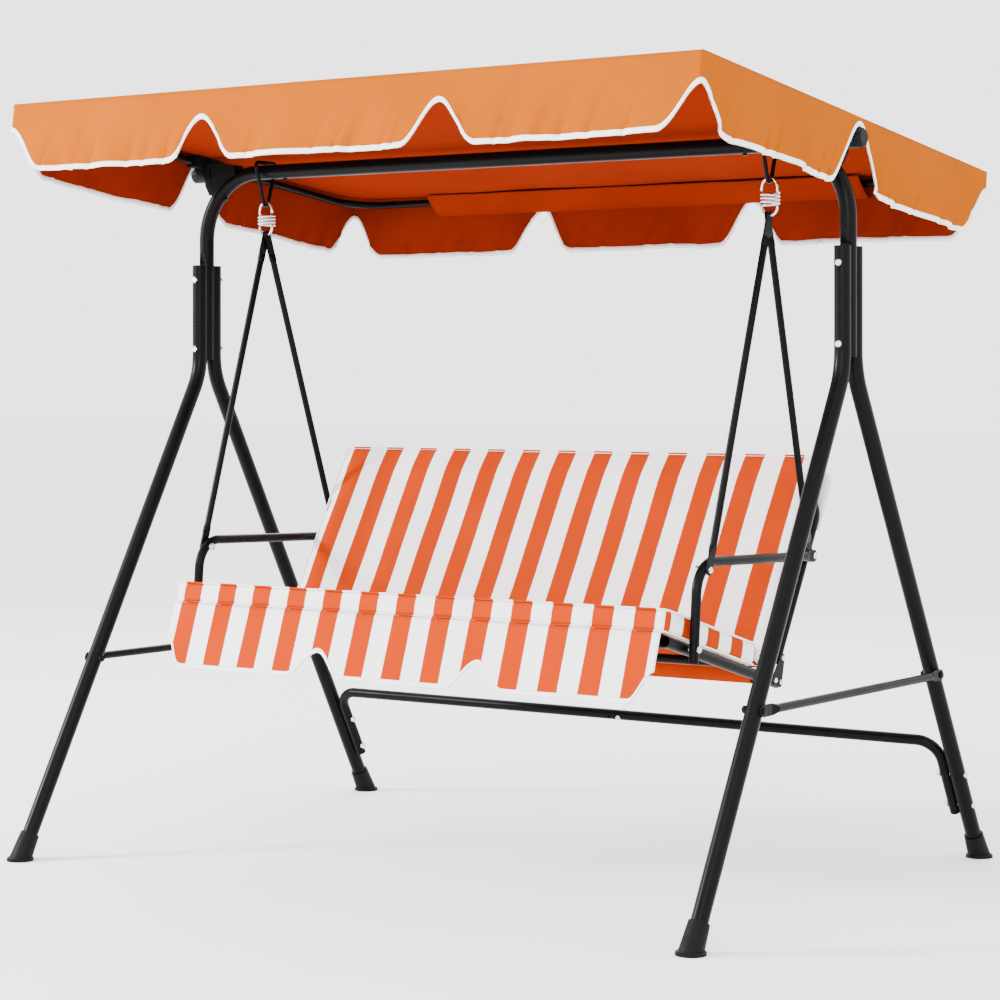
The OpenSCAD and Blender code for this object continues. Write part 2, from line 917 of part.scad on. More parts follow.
// Two strips sewn under the top that hold the front and rear canopy tubes
module canopy_pockets() {
  top = -fabric - face_gap;
  strip = 1.5;
  low = -tube_drop - 29;
  inner = canopy_depth / 2 - fabric - face_gap;
  color([0.85, 0.33, 0.08])
    on_canopy()
      for (side = [0, 1])
        mirror([0, side, 0])
          rotate([90, 0, 90])
            linear_extrude(2 * pocket_half, center = true)
              polygon([[seam_y, top], [seam_y, -tube_drop], [pocket_low_y, low], [inner, low],
                       [inner, low + strip], [pocket_low_y + 1, low + strip],
                       [seam_y + strip, -tube_drop + strip / 2], [seam_y + strip, top]]);
}

// ---------------------------------------------------------------- springs

// Ring of points around a wire at point i of path p, with sides points
function wire_ring(p, i, r, sides) =
  let (
    ahead = p[min(i + 1, len(p) - 1)],
    behind = p[max(i - 1, 0)],
    t = unit(ahead - behind),
    pick = abs(t[1]) < 0.9 ? [0, 1, 0] : [1, 0, 0],
    a = unit(cross(t, pick)),
    b = cross(t, a)
  )
  [for (k = [0:sides - 1]) p[i] + r * (cos(360 * k / sides) * a + sin(360 * k / sides) * b)];

// A wire of radius r swept along the points p
module wire(p, r, sides = 8) {
  n = len(p);
  points = [for (i = [0:n - 1]) for (q = wire_ring(p, i, r, sides)) q];
  walls = [
    for (i = [0:n - 2]) for (k = [0:sides - 1])
      let (a = i * sides + k, b = i * sides + (k + 1) % sides)
      [a, a + sides, b + sides, b]
  ];
  start = [for (k = [0:sides - 1]) k];
  finish = [for (k = [sides - 1:-1:0]) (n - 1) * sides + k];
  polyhedron(points, concat(walls, [start, finish]), convexity = 6);
}

// Points of a coil from its top at +X down to its bottom at -X
function coil_points(steps) = [
  for (i = [0:steps])
    let (a = 360 * (coil_turns - 0.5) * i / steps)
    [spring_x + coil_r * cos(a), coil_r * sin(a), coil_top_z - coil_height * i / steps]
];

module spring_coils() {
  color([0.85, 0.85, 0.86])
    left_and_right()
      wire(coil_points(64), wire_d / 2);
}

// A hook that rises from the coil's top, crosses over the beam loop and ends past it
module spring_top_hooks() {
  color([0.85, 0.85, 0.86])
    left_and_right()
      translate([spring_x, 0, 0])
        upright_front()
          bar_path([[coil_r, coil_top_z + wire_d / 2 + face_gap], [coil_r, crown_z], [-coil_r, crown_z],
                    [-coil_r, crown_z - coil_r - hook_tip]], coil_r - 0.01, wire_d);
}

// A hook that drops from the coil's bottom and passes through both hangers' eyes
module spring_bottom_hooks() {
  color([0.85, 0.85, 0.86])
    left_and_right()
      translate([spring_x, 0, 0])
        upright_front()
          bar_path([[-coil_r, coil_bottom_z - wire_d / 2 - face_gap], [-coil_r, hook_z], [coil_r, hook_z],
                    [coil_r, hook_z + coil_r + hook_tip]], coil_r - 0.01, wire_d);
}

// ---------------------------------------------------------------- bench

// A hanger tube from its lower bolt up to its eye, flat at both ends
module hanger_shape(foot, x) {
  low = [x[0], foot[0], foot[1]];
  span = [x[1], 0, hook_z] - low;
  length = norm(span);
  straight = length - foot_reach - eye_reach;
  translate(low)
    rotate([-asin(span[1] / length), atan2(span[0], span[2]), 0]) {
      translate([0, 0, foot_reach]) {
        difference() {
          cylinder(h = straight, d = hanger_od);
          translate([0, 0, solid_end])
            cylinder(h = straight - 2 * solid_end, d = hanger_od - 2 * stand_wall);
        }
        translate([0, 0, straight])
          flat_end(hanger_od, flat_w, hanger_flat, flat_taper, eye_reach, hanger_hole);
        rotate([180, 0, 0])
          flat_end(hanger_od, flat_w, hanger_flat, flat_taper, foot_reach, bolt_d / 2 + hole_gap);
      }
    }
}

module hanger_front_left() {
  color([0.09, 0.09, 0.1])
    mirror([1, 0, 0])
      hanger_shape(front_bolt, front_hanger_x);
}

module hanger_front_right() {
  color([0.09, 0.09, 0.1])
    hanger_shape(front_bolt, front_hanger_x);
}

module hanger_rear_left() {
  color([0.09, 0.09, 0.1])
    mirror([1, 0, 0])
      hanger_shape(rear_bolt, rear_hanger_x);
}

module hanger_rear_right() {
  color([0.09, 0.09, 0.1])
    hanger_shape(rear_bolt, rear_hanger_x);
}

// An armrest: up from the seat tube, round a bend, then back to a pad on the back tube
module arm_shape() {
  reach = 38;
  top = [arm_front_y, arm_height];
  toward = unit(rear_bolt - top);
  pad_start = rear_bolt - reach * toward;
  low = arm_foot + 26 * unit(arm_foot - top);
  run = [low, top, pad_start];
  translate([arm_x_mid, 0, 0])
    difference() {
      upright_side()
        difference() {
          bar_path(run, arm_bend, arm_od)
            rotate([0, 90, 0])
              flat_end(arm_od, 24, 4, 20, reach, bolt_d / 2 + hole_gap);
          bar_path([low - eps * unit(top - low), top, pad_start - 2 * solid_end * toward],
                   arm_bend, arm_od - 2 * stand_wall);
        }
      for (at = [front_bolt, arm_foot])
        translate([0, at[0], at[1]])
          rotate([0, 90, 0])
            cross_hole(bolt_d + 2 * hole_gap, arm_od);
    }
}

module arm_left() {
  color([0.1, 0.1, 0.11])
    mirror([1, 0, 0])
      arm_shape();
}

module arm_right() {
  color([0.1, 0.1, 0.11])
    arm_shape();
}

// The seat's slope frame: x along X, y back along the slope, z square to it
module on_seat() {
  translate([0, seat_front[0], seat_front[1]])
    rotate([-seat_tilt, 0, 0])
      children();
}

module seat_side_shape() {
  difference() {
    on_seat()
      translate([side_x, tube_y0, tube_z])
        rotate([-90, 0, 0])
          difference() {
            cylinder(h = side_len - tube_y0, d = frame_od);
            translate([0, 0, -eps])
              cylinder(h = side_len - tube_y0 + 2 * eps, d = frame_od - 2 * stand_wall);
          }
    translate([side_x, arm_foot[0], arm_foot[1]])
      rotate([0, 90, 0])
        cross_hole(bolt_d + 2 * hole_gap, frame_od);
    plate_drills()
      cross_hole(small_bolt_d + 2 * hole_gap, frame_od);
  }
}

module seat_side_left() {
  color([0.09, 0.09, 0.1])
    mirror([1, 0, 0])
      seat_side_shape();
}

module seat_side_right() {
  color([0.09, 0.09, 0.1])
    seat_side_shape();
}

// A cross tube whose ends are cut to sit against the two side tubes
module cross_tube(y, z, od) {
  on_seat()
    difference() {
      translate([0, y, z])
        rotate([0, 90, 0])
          difference() {
            cylinder(h = 2 * side_x, d = od, center = true);
            cylinder(h = 2 * side_x + 2 * eps, d = od - 2 * stand_wall, center = true);
          }
      for (side = [-1, 1])
        translate([side * side_x, 0, tube_z])
          rotate([-90, 0, 0])
            cylinder(h = 2 * side_len, d = frame_od + 2 * slip_gap, center = true);
    }
}

module seat_front_tube() {
  color([0.09, 0.09, 0.1])
    cross_tube(tube_y0 + frame_od / 2, tube_z, frame_od);
}

module seat_mid_tube() {
  color([0.09, 0.09, 0.1])
    cross_tube(mid_tube_y, tube_z + (frame_od - mid_tube_od) / 2, mid_tube_od);
}

module seat_rear_tube() {
  color([0.09, 0.09, 0.1])
    cross_tube(rear_tube_y, tube_z, frame_od);
}

// The back's slope frame: x along X, y up the back from its lower tube ends, z behind it
module on_back() {
  translate([0, back_tube_low[0], back_tube_low[1]])
    rotate([90 - back_lean, 0, 0])
      children();
}

// Half of the back frame: up one side, round the corner and along to the middle
module back_tube_shape(inner_end) {
  run = [[side_x, 0], [side_x, back_tube_top_u], [inner_end, back_tube_top_u]];
  difference() {
    on_back()
      tube_path(run, back_corner, frame_od, stand_wall);
    translate([side_x, rear_bolt[0], rear_bolt[1]])
      rotate([0, 90, 0])
        cross_hole(bolt_d + 2 * hole_gap, frame_od);
    plate_drills()
      cross_hole(small_bolt_d + 2 * hole_gap, frame_od);
  }
}

module back_tube_left() {
  plug_d = frame_od - 2 * stand_wall - 2 * slip_gap;
  color([0.09, 0.09, 0.1]) {
    mirror([1, 0, 0])
      back_tube_shape(face_gap);
    on_back()
      translate([-40, back_tube_top_u, 0])
        rotate([0, 90, 0])
          difference() {
            cylinder(h = 80, d = plug_d);
            translate([0, 0, -eps])
              cylinder(h = 80 + 2 * eps, d = plug_d - 2 * stand_wall);
          }
    on_back()
      translate([-40, back_tube_top_u, 0])
        rotate([0, 90, 0])
          difference() {
            cylinder(h = 5, d = frame_od - 2 * stand_wall + 1);
            translate([0, 0, -eps])
              cylinder(h = 5 + 2 * eps, d = plug_d - 2 * stand_wall);
          }
  }
}

module back_tube_right() {
  color([0.09, 0.09, 0.1])
    back_tube_shape(0);
}

module back_lower_tube() {
  color([0.09, 0.09, 0.1])
    on_back()
      difference() {
        translate([0, back_low_u, 0])
          rotate([0, 90, 0])
            difference() {
              cylinder(h = 2 * side_x, d = mid_tube_od, center = true);
              cylinder(h = 2 * side_x + 2 * eps, d = mid_tube_od - 2 * stand_wall, center = true);
            }
        for (side = [-1, 1])
          translate([side * side_x, 0, 0])
            rotate([-90, 0, 0])
              cylinder(h = 2 * back_tube_top_u, d = frame_od + 2 * slip_gap, center = true);
      }
}

// The three bolt places of a right corner plate
module plate_drills() {
  on_seat()
    for (y = plate_holes_seat)
      translate([side_x, y, tube_z])
        rotate([0, 90, 0])
          children();
  on_back()
    translate([side_x, plate_hole_back, 0])
      rotate([0, 90, 0])
        children();
}

// A flat plate outside each rear corner that ties the back tube to the seat tube
module corner_plates() {
  out = side_x + frame_od / 2 + face_gap;
  seat_at = [for (y = plate_holes_seat) seat_point(y, tube_z)];
  back_at = back_tube_low + plate_hole_back * [sin(back_lean), cos(back_lean)];
  color([0.07, 0.07, 0.08])
    left_and_right()
      difference() {
        translate([out, 0, 0])
          upright_side()
            linear_extrude(plate_thick)
              union() {
                polygon([seat_at[0] + [-4, -9], seat_at[1] + [0, -10], seat_at[1] + [9, 4],
                         back_at + [10, 0], back_at + [0, 10], back_at + [-10, 0],
                         seat_at[0] + [-9, 4]]);
                for (at = concat(seat_at, [back_at]))
                  translate(at)
                    circle(r = 10);
              }
        plate_drills()
          cross_hole(small_bolt_d + 2 * hole_gap, frame_od);
      }
}

module plate_bolts() {
  color([0.85, 0.85, 0.86])
    left_and_right()
      plate_drills()
        translate([0, 0, frame_od / 2 + plate_thick + 2 * face_gap])
          bolt(frame_od + plate_thick + 3 * face_gap, small_bolt_d, 10);
}

// Bolts through the armrests: at the front hangers, at the rear hangers, and at the seat tubes
module bench_bolts() {
  front_out = front_hanger_x[0] + hanger_flat / 2 + face_gap;
  rear_out = arm_x_mid + 2 + face_gap;
  foot_out = arm_x_mid + arm_od / 2 + face_gap;
  inner = side_x - frame_od / 2 - face_gap;
  color([0.85, 0.85, 0.86])
    left_and_right() {
      translate([front_out, front_bolt[0], front_bolt[1]])
        rotate([0, 90, 0])
          bolt(front_out - (arm_x_mid - arm_od / 2) + face_gap, bolt_d);
      translate([rear_out, rear_bolt[0], rear_bolt[1]])
        rotate([0, 90, 0])
          bolt(rear_out - inner, bolt_d);
      translate([foot_out, arm_foot[0], arm_foot[1]])
        rotate([0, 90, 0])
          bolt(foot_out - inner, bolt_d);
    }
}

// A cloth band stretched over two cross tubes and wrapped round them
module sling_band(y0, y1, r, half) {
  difference() {
    union() {
      for (y = [y0, y1])
        translate([0, y, 0])
          rotate([0, 90, 0])
            cylinder(h = 2 * half, r = r + sling + face_gap, center = true);
      translate([-half, y0, r + face_gap])
        cube([2 * half, y1 - y0, sling]);
    }
    for (y = [y0, y1])
      translate([0, y, 0])
        rotate([0, 90, 0])
          cylinder(h = 2 * half + 2 * eps, r = r + face_gap, center = true);
    translate([-half - eps, y0, -2 * r])
      cube([2 * half + 2 * eps, y1 - y0, 3 * r + face_gap]);
  }
}

module seat_sling() {
  color([0.9, 0.35, 0.1])
    on_seat()
      translate([0, 0, tube_z])
        sling_band(tube_y0 + frame_od / 2, rear_tube_y, frame_od / 2, side_x - frame_od - 2);
}

module back_sling() {
  low = back_low_u;
  front = frame_od / 2 + face_gap;
  half = side_x - frame_od - 2;
  color([0.9, 0.35, 0.1])
    on_back()
      translate([-half, low, -front - sling])
        cube([2 * half, back_tube_top_u - low, sling]);
}

module seat_cushion() {
  color([0.95, 0.93, 0.9])
    on_seat()
      rotate([90, 0, 90])
        linear_extrude(cushion_w, center = true)
          polygon([[0, 0], [seat_depth, 0],
                   [seat_depth - seat_thick * tan(back_lean - seat_tilt), -seat_thick], [0, -seat_thick]]);
}

// The scalloped skirt that hangs from under the seat's front edge
module seat_skirt() {
  half = cushion_w / 2 - 6;
  ends = [for (x = [-half, half]) [x, skirt_drop - 62, 46]];
  notches = concat([for (x = skirt_notches) [x, skirt_notch_drop, skirt_notch_half]], ends);
  color([0.95, 0.5, 0.3])
    on_seat()
      translate([0, -0.5, -seat_thick - face_gap])
        rotate([90 - 4, 0, 0])
          translate([0, 0, -2.5])
            linear_extrude(2.5)
              scalloped(half, skirt_drop, notches);
}

module back_cushion() {
  low = -back_tail;
  w = cushion_w - 4;
  color([0.95, 0.93, 0.9])
    translate([0, crease[0], crease[1]])
      rotate([90 - back_lean, 0, 0])
        translate([0, 0, -back_thick])
          rotate([90, 0, 90])
            linear_extrude(w, center = true)
              polygon([[low, 0], [back_rise - 18, 0], [back_rise, 18], [back_rise, back_thick - 10],
                       [back_rise - 14, back_thick], [low, back_thick]]);
}

// A pocket on the back cushion that slips down over the top of the back frame
module back_pocket() {
  sheet = 4;
  u0 = back_rise - 109;
  tube_u = back_tube_top_u - 2;
  w0 = back_thick + face_gap;
  w1 = back_w + frame_od / 2 + 2;
  color([0.93, 0.91, 0.88])
    translate([0, crease[0], crease[1]])
      rotate([90 - back_lean, 0, 0])
        rotate([90, 0, 90])
          linear_extrude(cushion_w - 8, center = true)
            polygon([[u0, -w1 - sheet], [u0, -w1], [tube_u + 15, -w1], [tube_u + 15, -w0],
                     [back_rise - 2, -w0], [back_rise - 6, -w1 + 6], [back_rise - 18, -w1 - sheet]]);
}

front_leg_left();
front_leg_right();
rear_leg_left();
rear_leg_right();
foot_cap_front_left();
foot_cap_front_right();
foot_cap_rear_left();
foot_cap_rear_right();
arch_left();
arch_right();
beam();
side_brace_left();
side_brace_right();
rear_brace_left();
rear_brace_right();
leg_bolts();
side_brace_bolts();
rear_brace_bolts();
frame_screws();
beam_loop_left();
beam_loop_right();
canopy_seat_left();
canopy_seat_right();
tilt_bolts();
tilt_knob_left();
tilt_knob_right();
tilt_knuckle_left();
tilt_knuckle_right();
canopy_front_tube();
canopy_rear_tube();
canopy_fabric();
canopy_pockets();
spring_top_hooks();
spring_coils();
spring_bottom_hooks();
hanger_front_left();
hanger_front_right();
hanger_rear_left();
hanger_rear_right();
arm_left();
arm_right();
seat_side_left();
seat_side_right();
seat_front_tube();
seat_mid_tube();
seat_rear_tube();
back_tube_left();
back_tube_right();
back_lower_tube();
corner_plates();
bench_bolts();
plate_bolts();
seat_sling();
back_sling();
seat_cushion();
seat_skirt();
back_cushion();
back_pocket();
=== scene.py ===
import json
import math
from math import cos, pi, radians, sin

import bmesh
import bpy
from mathutils import Matrix, Vector, noise


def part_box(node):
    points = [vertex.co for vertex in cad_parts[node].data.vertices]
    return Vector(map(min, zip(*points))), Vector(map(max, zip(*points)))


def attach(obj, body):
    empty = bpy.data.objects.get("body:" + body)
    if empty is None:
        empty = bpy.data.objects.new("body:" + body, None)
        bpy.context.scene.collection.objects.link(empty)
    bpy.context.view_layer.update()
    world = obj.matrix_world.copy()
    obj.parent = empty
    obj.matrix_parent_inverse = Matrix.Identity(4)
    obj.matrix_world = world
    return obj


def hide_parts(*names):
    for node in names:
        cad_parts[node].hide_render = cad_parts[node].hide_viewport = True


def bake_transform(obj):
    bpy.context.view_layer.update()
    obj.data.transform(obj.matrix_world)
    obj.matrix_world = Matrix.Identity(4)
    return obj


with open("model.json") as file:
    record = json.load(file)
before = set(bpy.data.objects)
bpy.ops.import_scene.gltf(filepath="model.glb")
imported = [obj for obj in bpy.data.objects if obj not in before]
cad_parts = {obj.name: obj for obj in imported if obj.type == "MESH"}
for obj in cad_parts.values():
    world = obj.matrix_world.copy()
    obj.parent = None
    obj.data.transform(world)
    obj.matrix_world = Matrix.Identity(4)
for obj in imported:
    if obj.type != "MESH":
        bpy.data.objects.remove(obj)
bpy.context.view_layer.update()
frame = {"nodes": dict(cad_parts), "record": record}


# Camera: it stands 5.5 m off, in front of the bench's right end and a metre above the
# floor, and looks level, so that the legs stay upright in the view.
camera = bpy.data.objects.new("camera", bpy.data.cameras.new("camera"))
bpy.context.scene.collection.objects.link(camera)
camera.location = (3.165, -4.554, 0.982)
camera.rotation_euler = (radians(90), 0, radians(34.83))
camera.data.lens = 97.69
camera.data.shift_y = -0.122
bpy.context.scene.camera = camera


# Stand tubes: bent steel tube, bolted together and powder coated in satin black. The coat
# has a fine orange peel and a slightly uneven sheen.
COAT_BLACK = (0.003, 0.003, 0.0034)


def new_material(name, colour, roughness, metallic=0.0, shine=0.06):
    material = bpy.data.materials.new(name)
    material.use_nodes = True
    shader = material.node_tree.nodes["Principled BSDF"]
    shader.inputs["Base Color"].default_value = (*colour, 1)
    shader.inputs["Roughness"].default_value = roughness
    shader.inputs["Metallic"].default_value = metallic
    shader.inputs["Specular IOR Level"].default_value = 0.5 if metallic else shine
    return material


def add(material, kind, **values):
    """A new node of this kind, with its settings and its sockets' values."""
    made = material.node_tree.nodes.new("ShaderNode" + kind)
    for name, value in values.items():
        if hasattr(made, name):
            setattr(made, name, value)
        else:
            made.inputs[name.replace("_", " ")].default_value = value
    return made


def join(material, source, target, name):
    """Links an output to the socket of that name on the target, or on the shader."""
    target = target or material.node_tree.nodes["Principled BSDF"]
    material.node_tree.links.new(source, target.inputs[name])


def object_place(material, scale=(1, 1, 1), turn=(0, 0, 0)):
    """Object coordinates in metres, scaled and turned."""
    place = add(material, "TexCoord")
    mapping = add(material, "Mapping", Scale=scale, Rotation=turn)
    join(material, place.outputs["Object"], mapping, "Vector")
    return mapping.outputs["Vector"]


def uneven_roughness(material, low, high, scale):
    """Roughness that wanders between low and high over patches of about 1 / scale metres."""
    patches = add(material, "TexNoise", Scale=scale, Detail=4)
    join(material, object_place(material), patches, "Vector")
    spread = add(material, "MapRange", From_Min=0.3, From_Max=0.7, To_Min=low, To_Max=high)
    join(material, patches.outputs["Fac"], spread, "Value")
    join(material, spread.outputs["Result"], None, "Roughness")


def fine_bump(material, height, strength, distance):
    bump = add(material, "Bump", Strength=strength, Distance=distance)
    join(material, height, bump, "Height")
    join(material, bump.outputs["Normal"], None, "Normal")


def powder_coat(name, colour, low, high):
    material = new_material(name, colour, low)
    uneven_roughness(material, low, high, 14)
    peel = add(material, "TexNoise", Scale=900, Detail=1)
    join(material, object_place(material), peel, "Vector")
    fine_bump(material, peel.outputs["Fac"], 0.25, 0.0002)
    return material


def finish_nodes(names, material):
    """Gives CAD pieces their finish."""
    for name in names:
        node = frame["nodes"][name]
        node.data.materials.clear()
        node.data.materials.append(material)


SIDES = ("left", "right")
frame_coat = powder_coat("satin_black_coat", COAT_BLACK, 0.26, 0.38)
stand_tubes = ["beam"]
for side in SIDES:
    stand_tubes += [f"front_leg_{side}", f"rear_leg_{side}", f"arch_{side}", f"side_brace_{side}",
                    f"rear_brace_{side}"]
finish_nodes(stand_tubes, frame_coat)


# Foot caps: moulded in soft black PVC and pushed on the leg ends, with the fine grain of a
# spark-eroded mould.
def moulded_black(name, colour, roughness, grain):
    material = new_material(name, colour, roughness)
    uneven_roughness(material, roughness - 0.08, roughness + 0.12, 30)
    pits = add(material, "TexVoronoi", Scale=grain)
    join(material, object_place(material), pits, "Vector")
    fine_bump(material, pits.outputs["Distance"], 0.2, 0.0003)
    return material


foot_rubber = moulded_black("foot_cap_pvc", (0.005, 0.005, 0.005), 0.5, 700)
finish_nodes([f"foot_cap_{end}_{side}" for end in ("front", "rear") for side in SIDES],
             foot_rubber)


# Bolts and screws: zinc-plated button-head bolts with a brushed, slightly cloudy plating,
# and small black ones at the side braces, the beam and the canopy seats.
def plated(name, colour, low, high, stretch):
    material = new_material(name, colour, low, 1.0)
    uneven_roughness(material, low, high, 60)
    brushing = add(material, "TexNoise", Scale=1, Detail=2)
    join(material, object_place(material, stretch), brushing, "Vector")
    fine_bump(material, brushing.outputs["Fac"], 0.15, 0.0002)
    return material


zinc = plated("zinc_plate", (0.78, 0.78, 0.77), 0.22, 0.38, (300, 1500, 300))
finish_nodes(["leg_bolts", "rear_brace_bolts", "bench_bolts", "plate_bolts"], zinc)
black_screw = powder_coat("black_screw", (0.006, 0.006, 0.007), 0.32, 0.45)
finish_nodes(["frame_screws", "side_brace_bolts"], black_screw)


# Canopy seats, tilt knuckles and knobs: glass-filled nylon, moulded in black. Plain steel
# bolts run through them, and each knob pulls its knuckle against the seat.
nylon = moulded_black("moulded_nylon", (0.006, 0.006, 0.0065), 0.42, 1100)
finish_nodes([f"{piece}_{side}" for piece in ("canopy_seat", "tilt_knuckle", "tilt_knob") for side in SIDES],
             nylon)
plain_steel = plated("plain_steel", (0.42, 0.42, 0.43), 0.3, 0.45, (1500, 300, 300))
finish_nodes(["tilt_bolts"], plain_steel)


# Beam loops: 8 mm rod bent round the beam, butt welded on top and powder coated. A spring
# hangs in the bend of each.
finish_nodes([f"beam_loop_{side}" for side in SIDES], frame_coat)


# Springs: each is one length of 5 mm bright zinc-plated spring wire. A hook goes over the
# beam loop's rod, the close coil follows, and a lower hook carries both hangers' eyes.
WIRE = 0.005
COIL_TURNS = 4
KINK = 0.003


def only(kind, parts):
    return [part for part in parts if isinstance(part, kind)]


def sweep(bm, ring, at, heading, moves, step=radians(10)):
    """Carries a ring or line of edges along moves and returns its last copy.

    A move is a length to run straight, or (angle, radius, axis, climb) to turn about an axis.
    """
    at, heading = Vector(at), Vector(heading).normalized()
    for move in moves:
        if isinstance(move, (int, float)):
            grown = bmesh.ops.extrude_edge_only(bm, edges=ring)["geom"]
            shift = heading * move
            bmesh.ops.translate(bm, vec=shift, verts=only(bmesh.types.BMVert, grown))
            at += shift
        else:
            angle, radius, axis, climb = move
            axis = Vector(axis).normalized()
            centre = at + axis.cross(heading) * radius * math.copysign(1, angle)
            steps = max(3, round(abs(angle) / step))
            corners = list({v for e in ring for v in e.verts})
            grown = bmesh.ops.spin(bm, geom=corners + ring, cent=centre, axis=axis, angle=angle, steps=steps,
                                   dvec=axis * climb / steps)["geom_last"]
            turned = Matrix.Rotation(angle, 3, axis)
            at = centre + turned @ (at - centre) + axis * climb
            heading = turned @ heading
        ring = only(bmesh.types.BMEdge, grown)
    return ring


def rod_ring(bm, at, heading, radius, sides):
    """A circle of edges square to its heading, ready to sweep."""
    facing = Vector(heading).to_track_quat("Z", "Y").to_matrix().to_4x4()
    made = bmesh.ops.create_circle(bm, segments=sides, radius=radius, matrix=Matrix.Translation(at) @ facing)
    return list({e for v in made["verts"] for e in v.link_edges})


def swept_rod(bm, at, heading, moves, radius, sides=10, step=radians(10)):
    """A round rod along moves, with flat closed ends."""
    first = rod_ring(bm, at, heading, radius, sides)
    last = sweep(bm, first, at, heading, moves, step)
    for end in (first, last):
        bmesh.ops.contextual_create(bm, geom=end)


def finished(name, bm, materials):
    """Turns a bmesh into a smooth named piece with its materials."""
    bmesh.ops.remove_doubles(bm, verts=bm.verts, dist=1e-6)
    bmesh.ops.recalc_face_normals(bm, faces=bm.faces)
    mesh = bpy.data.meshes.new(name)
    bm.to_mesh(mesh)
    bm.free()
    for polygon in mesh.polygons:
        polygon.use_smooth = True
    for material in materials:
        mesh.materials.append(material)
    piece = bpy.data.objects.new(name, mesh)
    bpy.context.scene.collection.objects.link(piece)
    return piece


top_low, top_high = map(Vector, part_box("spring_top_hooks"))
coil_low, coil_high = map(Vector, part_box("spring_coils"))
foot_low, foot_high = map(Vector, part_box("spring_bottom_hooks"))
coil_radius = coil_high.y - WIRE / 2
spring_x = top_high.x - WIRE / 2 - coil_radius
crown_z = top_high.z - WIRE / 2
coil_drop = (coil_high.z - coil_low.z) - WIRE
coil_start = Vector((coil_radius, KINK, coil_high.z - WIRE / 2))
hook_tip = (-coil_radius, 0, top_low.z)
top_bend = crown_z - coil_radius
low_bend = foot_low.z + WIRE / 2 + coil_radius
bm = bmesh.new()
moves = [
    top_bend - top_low.z,
    (pi, coil_radius, (0, 1, 0), 0),
    top_bend - coil_start.z - KINK,
    (radians(90), KINK, (1, 0, 0), 0),
    (2 * pi * (COIL_TURNS - 0.5), coil_radius, (0, 0, 1), -coil_drop),
    (radians(90), KINK, (1, 0, 0), 0),
    coil_start.z - coil_drop - KINK - low_bend,
    (-pi, coil_radius, (0, 1, 0), 0),
    foot_high.z - low_bend,
]
swept_rod(bm, hook_tip, (0, 0, 1), moves, WIRE / 2)
bmesh.ops.translate(bm, vec=(spring_x, 0, 0), verts=bm.verts)
twin = bmesh.ops.duplicate(bm, geom=bm.verts[:] + bm.edges[:] + bm.faces[:])["geom"]
bmesh.ops.scale(bm, vec=(-1, 1, 1), verts=only(bmesh.types.BMVert, twin))
spring_plate = plated("bright_spring_plate", (0.8, 0.8, 0.8), 0.16, 0.3, (200, 200, 2500))
springs = finished("springs", bm, [spring_plate])
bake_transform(springs)
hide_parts("spring_top_hooks", "spring_coils", "spring_bottom_hooks")


# Canopy tubes: two U-shaped 16 mm tubes pushed into the knuckles, powder coated like the
# stand. The canopy is pulled over them and its pockets keep them in place.
finish_nodes(["canopy_front_tube", "canopy_rear_tube"], frame_coat)


# Canopy: one sheet of orange polyester, stretched over the tubes with a slight dip. Its
# scalloped valance falls in soft waves on all four sides, with a white braid folded over the
# hem. Its underside is the same canvas in a deeper red copy, painted shade for the shadow under it.
TILT = radians(6.92)
PIVOT_TO_TOP = 0.0394
PIVOT_TO_MIDDLE = 0.0078
TOP_HALF = Vector((0.8155, 0.5725))
VALANCE = 0.140
FRONT_NOTCHES = (-0.304, 0.264)
REAR_NOTCHES = (-0.272, 0.272)
FRONT_NOTCH_DEPTH = 0.058
REAR_NOTCH_DEPTH = 0.044
SIDE_NOTCH_DEPTH = 0.018
LONG_NOTCH_HALF = 0.082
SIDE_NOTCH_HALF = 0.1
BRAID = 0.010
SEWN = 0.046
ON_EDGE = 1e-5
canopy_joint = next(j for j in frame["record"]["behaviour"]["joints"] if j["name"] == "canopy_tilt")
canopy_place = (Matrix.Translation(canopy_joint["pos_m"]) @ Matrix.Rotation(-TILT, 4, "X")
                @ Matrix.Translation((0, -PIVOT_TO_MIDDLE, PIVOT_TO_TOP)))


def hem_depth(along, full, notches):
    """How deep a scalloped hem hangs; each notch is (place, depth, half width)."""
    return min(depth + (full - depth) * sin(pi / 2 * min(1, abs(along - place) / half)) ** 2
               for place, depth, half in notches)


def valance_depth(x, y):
    """Depth of the canopy's hem under a point of its top edge."""
    wide = TOP_HALF.x
    deep = TOP_HALF.y
    if y < -deep + ON_EDGE:
        front = [(p, FRONT_NOTCH_DEPTH, LONG_NOTCH_HALF) for p in (-wide, *FRONT_NOTCHES, wide)]
        return hem_depth(x, VALANCE, front)
    if y > deep - ON_EDGE:
        rear = [(p, REAR_NOTCH_DEPTH, LONG_NOTCH_HALF) for p in (-wide, *REAR_NOTCHES, wide)]
        return hem_depth(x, VALANCE, rear)
    places = ((-deep, FRONT_NOTCH_DEPTH), (PIVOT_TO_MIDDLE, SIDE_NOTCH_DEPTH), (deep, REAR_NOTCH_DEPTH))
    return hem_depth(y, VALANCE, [(p, depth, SIDE_NOTCH_HALF) for p, depth in places])


def outward(x, y):
    """Which way a point of the top's edge faces."""
    side = Vector((math.copysign(1, x) if abs(x) > TOP_HALF.x - ON_EDGE else 0,
                   math.copysign(1, y) if abs(y) > TOP_HALF.y - ON_EDGE else 0, 0))
    return side.normalized()


